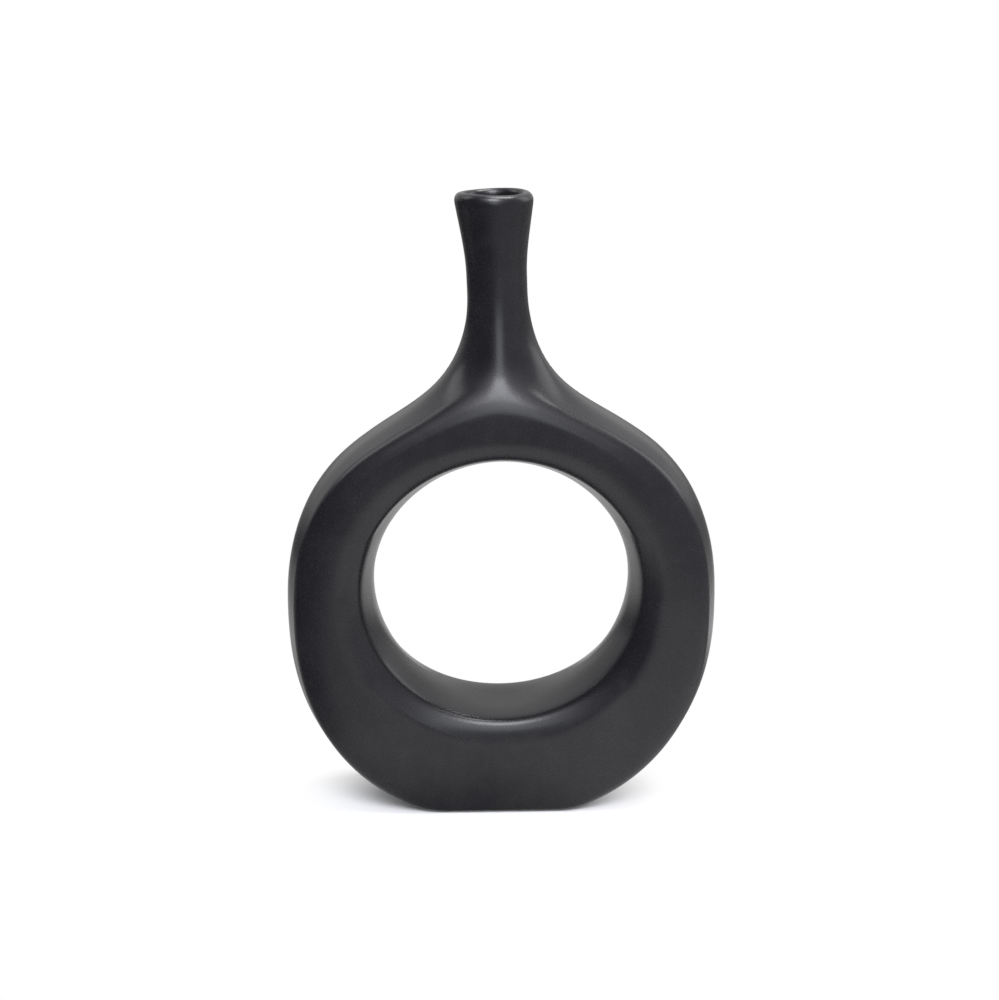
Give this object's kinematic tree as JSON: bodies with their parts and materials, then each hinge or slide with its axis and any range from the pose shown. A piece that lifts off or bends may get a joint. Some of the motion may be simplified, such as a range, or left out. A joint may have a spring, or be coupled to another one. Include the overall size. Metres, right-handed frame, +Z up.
{
  "type": "ring vase",
  "caption": "Hollow ring-shaped stoneware vase with a slim flared neck, an open hole through its middle, a flat foot on felt pads, in matt black glaze.",
  "frame": {"origin": "on the table under the middle of the foot", "axes": "+Z up along the neck, +Y from the front face to the rear face, +X to the right seen from the front"},
  "size_m": [0.1794, 0.048, 0.26],
  "materials": {
    "glaze": "matt black satin glaze",
    "felt": "pressed felt"
  },
  "bodies": {
    "root": {"ring_front": "glaze", "ring_back": "glaze", "neck": "glaze", "pad_front_left": "felt", "pad_front_right": "felt", "pad_back_left": "felt", "pad_back_right": "felt"}
  },
  "joints": []
}
